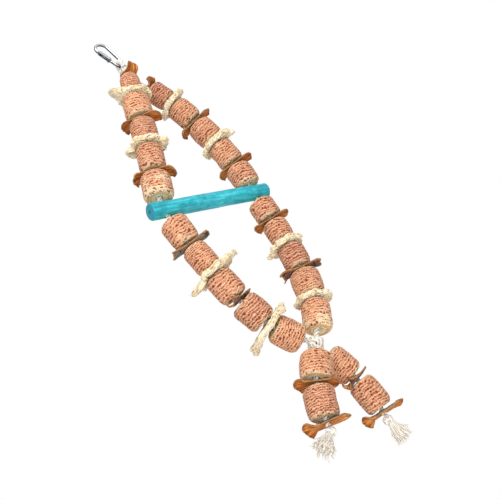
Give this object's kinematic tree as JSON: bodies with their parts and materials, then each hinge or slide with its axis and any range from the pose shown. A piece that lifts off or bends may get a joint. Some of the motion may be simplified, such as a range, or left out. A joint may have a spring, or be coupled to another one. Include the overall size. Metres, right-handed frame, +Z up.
{
  "type": "hanging bird chew toy",
  "caption": "Hanging cage-bird chew toy: corn-cob segments, curled bark and loofah slices on a cotton rope loop spread by a wooden perch, with tasselled tails and a spring-gate snap hook.",
  "frame": {"origin": "inside top of the snap hook's bow, where a cage bar carries it", "axes": "+Z up, +X along the perch towards the right strand, +Y to the back; the toy hangs in the XZ plane"},
  "size_m": [0.1665, 0.0577, 0.5682],
  "materials": {
    "steel": "bright zinc plating",
    "cotton": "twisted undyed cotton",
    "cob": "dry, matt, with kernel sockets",
    "bark": "rough bark outside, fibrous inside",
    "loofah": "dry open fibre",
    "perch": "turquoise stain, satin"
  },
  "bodies": {
    "snap_hook": {"hook_body": "steel", "gate_rivet": "steel"},
    "gate": {"gate": "steel", "gate_spring": "steel"},
    "rope_loop": {"rope_loop": "cotton"},
    "upper_strands": {"left_upper_rope": "cotton", "right_upper_rope": "cotton", "perch": "perch"},
    "lower_strands": {"knotted_lower_rope": "cotton"},
    "left_tail": {"left_tail_rope": "cotton"},
    "right_tail": {"right_tail_rope": "cotton"},
    "left_tassel": {"left_tassel": "cotton"},
    "right_tassel": {"right_tassel": "cotton"},
    "left_cob_1": {"left_cob_1": "cob"},
    "left_cob_2": {"left_cob_2": "cob"},
    "left_cob_3": {"left_cob_3": "cob"},
    "left_cob_4": {"left_cob_4": "cob"},
    "left_cob_5": {"left_cob_5": "cob"},
    "left_cob_6": {"left_cob_6": "cob"},
    "left_cob_7": {"left_cob_7": "cob"},
    "left_cob_8": {"left_cob_8": "cob"},
    "left_cob_9": {"left_cob_9": "cob"},
    "left_cob_10": {"left_cob_10": "cob"},
    "left_cob_11": {"left_cob_11": "cob"},
    "left_cob_12": {"left_cob_12": "cob"},
    "left_bark_1": {"left_bark_1": "bark"},
    "left_bark_2": {"left_bark_2": "bark"},
    "left_bark_3": {"left_bark_3": "bark"},
    "left_bark_4": {"left_bark_4": "bark"},
    "left_bark_5": {"left_bark_5": "bark"},
    "left_bark_6": {"left_bark_6": "bark"},
    "left_bark_7": {"left_bark_7": "bark"},
    "left_loofah_1": {"left_loofah_1": "loofah"},
    "left_loofah_2": {"left_loofah_2": "loofah"},
    "left_loofah_3": {"left_loofah_3": "loofah"},
    "left_loofah_4": {"left_loofah_4": "loofah"},
    "right_cob_1": {"right_cob_1": "cob"},
    "right_cob_2": {"right_cob_2": "cob"},
    "right_cob_3": {"right_cob_3": "cob"},
    "right_cob_4": {"right_cob_4": "cob"},
    "right_cob_5": {"right_cob_5": "cob"},
    "right_cob_6": {"right_cob_6": "cob"},
    "right_cob_7": {"right_cob_7": "cob"},
    "right_cob_8": {"right_cob_8": "cob"},
    "right_cob_9": {"right_cob_9": "cob"},
    "right_cob_10": {"right_cob_10": "cob"},
    "right_cob_11": {"right_cob_11": "cob"},
    "right_cob_12": {"right_cob_12": "cob"},
    "right_bark_1": {"right_bark_1": "bark"},
    "right_bark_2": {"right_bark_2": "bark"},
    "right_bark_3": {"right_bark_3": "bark"},
    "right_bark_4": {"right_bark_4": "bark"},
    "right_bark_5": {"right_bark_5": "bark"},
    "right_bark_6": {"right_bark_6": "bark"},
    "right_bark_7": {"right_bark_7": "bark"},
    "right_loofah_1": {"right_loofah_1": "loofah"},
    "right_loofah_2": {"right_loofah_2": "loofah"},
    "right_loofah_3": {"right_loofah_3": "loofah"},
    "right_loofah_4": {"right_loofah_4": "loofah"}
  },
  "joints": [
    {"name": "gate_hinge", "type": "hinge", "parent": "snap_hook", "child": "gate", "pos_m": [0.00193, 0, -0.02269], "axis": [0, 1, 0], "range_deg": [0, 38], "stiffness_Nm_per_rad": 0.02, "springref_deg": -20.05},
    {"name": "loop_swing", "type": "hinge", "parent": "snap_hook", "child": "rope_loop", "pos_m": [0.01118, 0, -0.03453], "axis": [1, 0, 0], "range_deg": [-45, 45]},
    {"name": "toy_swing", "type": "hinge", "parent": "rope_loop", "child": "upper_strands", "pos_m": [0.01118, 0, -0.04453], "axis": [0, 1, 0], "range_deg": [-25, 25]},
    {"name": "lower_swing", "type": "hinge", "parent": "upper_strands", "child": "lower_strands", "pos_m": [-0.05198, 0, -0.25077], "axis": [0.9959, 0, -0.0907], "range_deg": [-40, 40]},
    {"name": "left_tail_swing", "type": "hinge", "parent": "lower_strands", "child": "left_tail", "pos_m": [0.00757, -0.007, -0.44231], "axis": [1, 0, 0], "range_deg": [-40, 40]},
    {"name": "right_tail_swing", "type": "hinge", "parent": "lower_strands", "child": "right_tail", "pos_m": [0.02013, 0.007, -0.444], "axis": [1, 0, 0], "range_deg": [-40, 40]},
    {"name": "left_tassel_swing", "type": "hinge", "parent": "left_tail", "child": "left_tassel", "pos_m": [-0.03718, -0.007, -0.5178], "axis": [1, 0, 0], "range_deg": [-45, 45]},
    {"name": "right_tassel_swing", "type": "hinge", "parent": "right_tail", "child": "right_tassel", "pos_m": [0.04145, 0.007, -0.53542], "axis": [1, 0, 0], "range_deg": [-45, 45]},
    {"name": "left_bark_1_spin", "type": "hinge", "parent": "upper_strands", "child": "left_bark_1", "pos_m": [0.00844, -0.00483, -0.05445], "axis": [0.2693, -0.0263, 0.9627], "range_deg": [-15, 55]},
    {"name": "right_bark_1_spin", "type": "hinge", "parent": "upper_strands", "child": "right_bark_1", "pos_m": [0.03046, 0.0043, -0.071], "axis": [-0.5242, 0.0245, 0.8512], "range_deg": [-60, 90]},
    {"name": "left_bark_2_spin", "type": "hinge", "parent": "upper_strands", "child": "left_bark_2", "pos_m": [-0.0118, -0.00299, -0.12144], "axis": [0.3076, -0.0263, 0.9511], "continuous": true},
    {"name": "right_bark_2_spin", "type": "hinge", "parent": "upper_strands", "child": "right_bark_2", "pos_m": [0.05829, 0.00258, -0.13517], "axis": [-0.2705, 0.0245, 0.9624], "continuous": true},
    {"name": "left_bark_3_spin", "type": "hinge", "parent": "upper_strands", "child": "left_bark_3", "pos_m": [-0.03656, -0.001, -0.19318], "axis": [0.3441, -0.0263, 0.9386], "continuous": true},
    {"name": "right_bark_3_spin", "type": "hinge", "parent": "upper_strands", "child": "right_bark_3", "pos_m": [0.06869, 0.0008, -0.20696], "axis": [-0.017, 0.0245, 0.9996], "continuous": true},
    {"name": "left_bark_4_spin", "type": "hinge", "parent": "lower_strands", "child": "left_bark_4", "pos_m": [-0.04797, 0, -0.28691], "axis": [-0.1156, 0, 0.9933], "continuous": true},
    {"name": "right_bark_4_spin", "type": "hinge", "parent": "lower_strands", "child": "right_bark_4", "pos_m": [0.06399, 0, -0.28924], "axis": [0.0561, 0, 0.9984], "continuous": true},
    {"name": "left_bark_5_spin", "type": "hinge", "parent": "lower_strands", "child": "left_bark_5", "pos_m": [-0.03491, 0, -0.36117], "axis": [-0.2755, 0, 0.9613], "continuous": true},
    {"name": "right_bark_5_spin", "type": "hinge", "parent": "lower_strands", "child": "right_bark_5", "pos_m": [0.05725, 0, -0.35606], "axis": [0.1827, 0, 0.9832], "continuous": true},
    {"name": "left_bark_6_spin", "type": "hinge", "parent": "left_tail", "child": "left_bark_6", "pos_m": [-0.01873, -0.007, -0.47306], "axis": [0.5332, 0, 0.846], "continuous": true},
    {"name": "right_bark_6_spin", "type": "hinge", "parent": "right_tail", "child": "right_bark_6", "pos_m": [0.03808, 0.007, -0.48421], "axis": [-0.2525, 0, 0.9676], "continuous": true},
    {"name": "left_bark_7_spin", "type": "hinge", "parent": "left_tail", "child": "left_bark_7", "pos_m": [-0.03497, -0.007, -0.5095], "axis": [0.2722, 0, 0.9622], "continuous": true},
    {"name": "right_bark_7_spin", "type": "hinge", "parent": "right_tail", "child": "right_bark_7", "pos_m": [0.04214, 0.007, -0.52686], "axis": [0.0652, 0, 0.9979], "continuous": true},
    {"name": "left_loofah_1_spin", "type": "hinge", "parent": "upper_strands", "child": "left_loofah_1", "pos_m": [-0.00096, -0.00395, -0.08677], "axis": [0.2887, -0.0263, 0.957], "continuous": true},
    {"name": "right_loofah_1_spin", "type": "hinge", "parent": "upper_strands", "child": "right_loofah_1", "pos_m": [0.04611, 0.00347, -0.10101], "axis": [-0.4004, 0.0245, 0.916], "continuous": true},
    {"name": "left_loofah_2_spin", "type": "hinge", "parent": "upper_strands", "child": "left_loofah_2", "pos_m": [-0.0233, -0.00204, -0.15586], "axis": [0.3254, -0.0263, 0.9452], "continuous": true},
    {"name": "right_loofah_2_spin", "type": "hinge", "parent": "upper_strands", "child": "right_loofah_2", "pos_m": [0.06576, 0.00169, -0.17048], "axis": [-0.1434, 0.0245, 0.9894], "continuous": true},
    {"name": "left_loofah_3_spin", "type": "hinge", "parent": "lower_strands", "child": "left_loofah_3", "pos_m": [-0.04296, 0, -0.324], "axis": [-0.1611, 0, 0.9869], "continuous": true},
    {"name": "right_loofah_3_spin", "type": "hinge", "parent": "lower_strands", "child": "right_loofah_3", "pos_m": [0.06173, 0, -0.32188], "axis": [0.0891, 0, 0.996], "continuous": true},
    {"name": "left_loofah_4_spin", "type": "hinge", "parent": "lower_strands", "child": "left_loofah_4", "pos_m": [-0.02045, 0, -0.39727], "axis": [-0.4815, 0, 0.8764], "continuous": true},
    {"name": "right_loofah_4_spin", "type": "hinge", "parent": "lower_strands", "child": "right_loofah_4", "pos_m": [0.04737, 0, -0.39134], "axis": [0.3718, 0, 0.9283], "continuous": true},
    {"name": "left_cob_1_spin", "type": "hinge", "parent": "upper_strands", "child": "left_cob_1", "pos_m": [0.0039, -0.0044, -0.07029], "axis": [0.2791, -0.0263, 0.9599], "continuous": true},
    {"name": "right_cob_1_spin", "type": "hinge", "parent": "upper_strands", "child": "right_cob_1", "pos_m": [0.0385, 0.00389, -0.0855], "axis": [-0.4635, 0.0245, 0.8858], "continuous": true},
    {"name": "left_cob_2_spin", "type": "hinge", "parent": "upper_strands", "child": "left_cob_2", "pos_m": [-0.00643, -0.00346, -0.10447], "axis": [0.2985, -0.0263, 0.954], "continuous": true},
    {"name": "right_cob_2_spin", "type": "hinge", "parent": "upper_strands", "child": "right_cob_2", "pos_m": [0.05274, 0.00301, -0.1183], "axis": [-0.3341, 0.0245, 0.9422], "continuous": true},
    {"name": "left_cob_3_spin", "type": "hinge", "parent": "upper_strands", "child": "left_cob_3", "pos_m": [-0.01738, -0.00252, -0.13833], "axis": [0.3165, -0.0263, 0.9482], "continuous": true},
    {"name": "right_cob_3_spin", "type": "hinge", "parent": "upper_strands", "child": "right_cob_3", "pos_m": [0.06235, 0.00215, -0.15238], "axis": [-0.2081, 0.0245, 0.9778], "continuous": true},
    {"name": "left_cob_4_spin", "type": "hinge", "parent": "upper_strands", "child": "left_cob_4", "pos_m": [-0.02999, -0.00151, -0.17488], "axis": [0.335, -0.0263, 0.9419], "continuous": true},
    {"name": "right_cob_4_spin", "type": "hinge", "parent": "upper_strands", "child": "right_cob_4", "pos_m": [0.06766, 0.00124, -0.18906], "axis": [-0.0786, 0.0245, 0.9966], "continuous": true},
    {"name": "left_cob_5_spin", "type": "hinge", "parent": "upper_strands", "child": "left_cob_5", "pos_m": [-0.043, -0.00052, -0.21041], "axis": [0.3525, -0.0263, 0.9355], "continuous": true},
    {"name": "right_cob_5_spin", "type": "hinge", "parent": "upper_strands", "child": "right_cob_5", "pos_m": [0.06831, 0.00037, -0.22443], "axis": [0.042, 0.0245, 0.9988], "continuous": true},
    {"name": "left_cob_6_spin", "type": "hinge", "parent": "lower_strands", "child": "left_cob_6", "pos_m": [-0.05, 0, -0.26887], "axis": [-0.11, 0, 0.9939], "continuous": true},
    {"name": "right_cob_6_spin", "type": "hinge", "parent": "lower_strands", "child": "right_cob_6", "pos_m": [0.06478, 0, -0.27443], "axis": [0.0527, 0, 0.9986], "continuous": true},
    {"name": "left_cob_7_spin", "type": "hinge", "parent": "lower_strands", "child": "left_cob_7", "pos_m": [-0.04567, 0, -0.30506], "axis": [-0.1326, 0, 0.9912], "continuous": true},
    {"name": "right_cob_7_spin", "type": "hinge", "parent": "lower_strands", "child": "right_cob_7", "pos_m": [0.06298, 0, -0.30516], "axis": [0.0679, 0, 0.9977], "continuous": true},
    {"name": "left_cob_8_spin", "type": "hinge", "parent": "lower_strands", "child": "left_cob_8", "pos_m": [-0.03926, 0, -0.34291], "axis": [-0.2111, 0, 0.9775], "continuous": true},
    {"name": "right_cob_8_spin", "type": "hinge", "parent": "lower_strands", "child": "right_cob_8", "pos_m": [0.05974, 0, -0.33927], "axis": [0.1294, 0, 0.9916], "continuous": true},
    {"name": "left_cob_9_spin", "type": "hinge", "parent": "lower_strands", "child": "left_cob_9", "pos_m": [-0.0286, 0, -0.379], "axis": [-0.3669, 0, 0.9303], "continuous": true},
    {"name": "right_cob_9_spin", "type": "hinge", "parent": "lower_strands", "child": "right_cob_9", "pos_m": [0.05308, 0, -0.37336], "axis": [0.2647, 0, 0.9643], "continuous": true},
    {"name": "left_cob_10_spin", "type": "hinge", "parent": "lower_strands", "child": "left_cob_10", "pos_m": [-0.00869, 0, -0.41412], "axis": [-0.6256, 0, 0.7801], "continuous": true},
    {"name": "right_cob_10_spin", "type": "hinge", "parent": "lower_strands", "child": "right_cob_10", "pos_m": [0.03688, 0, -0.41078], "axis": [0.5358, 0, 0.8444], "continuous": true},
    {"name": "left_cob_11_spin", "type": "hinge", "parent": "left_tail", "child": "left_cob_11", "pos_m": [-0.00762, -0.007, -0.45836], "axis": [0.6401, 0, 0.7683], "continuous": true},
    {"name": "right_cob_11_spin", "type": "hinge", "parent": "right_tail", "child": "right_cob_11", "pos_m": [0.03107, 0.007, -0.46523], "axis": [-0.3953, 0, 0.9185], "continuous": true},
    {"name": "left_cob_12_spin", "type": "hinge", "parent": "left_tail", "child": "left_cob_12", "pos_m": [-0.02777, -0.007, -0.49087], "axis": [0.4069, 0, 0.9135], "continuous": true},
    {"name": "right_cob_12_spin", "type": "hinge", "parent": "right_tail", "child": "right_cob_12", "pos_m": [0.04129, 0.007, -0.50542], "axis": [-0.0948, 0, 0.9955], "continuous": true}
  ]
}
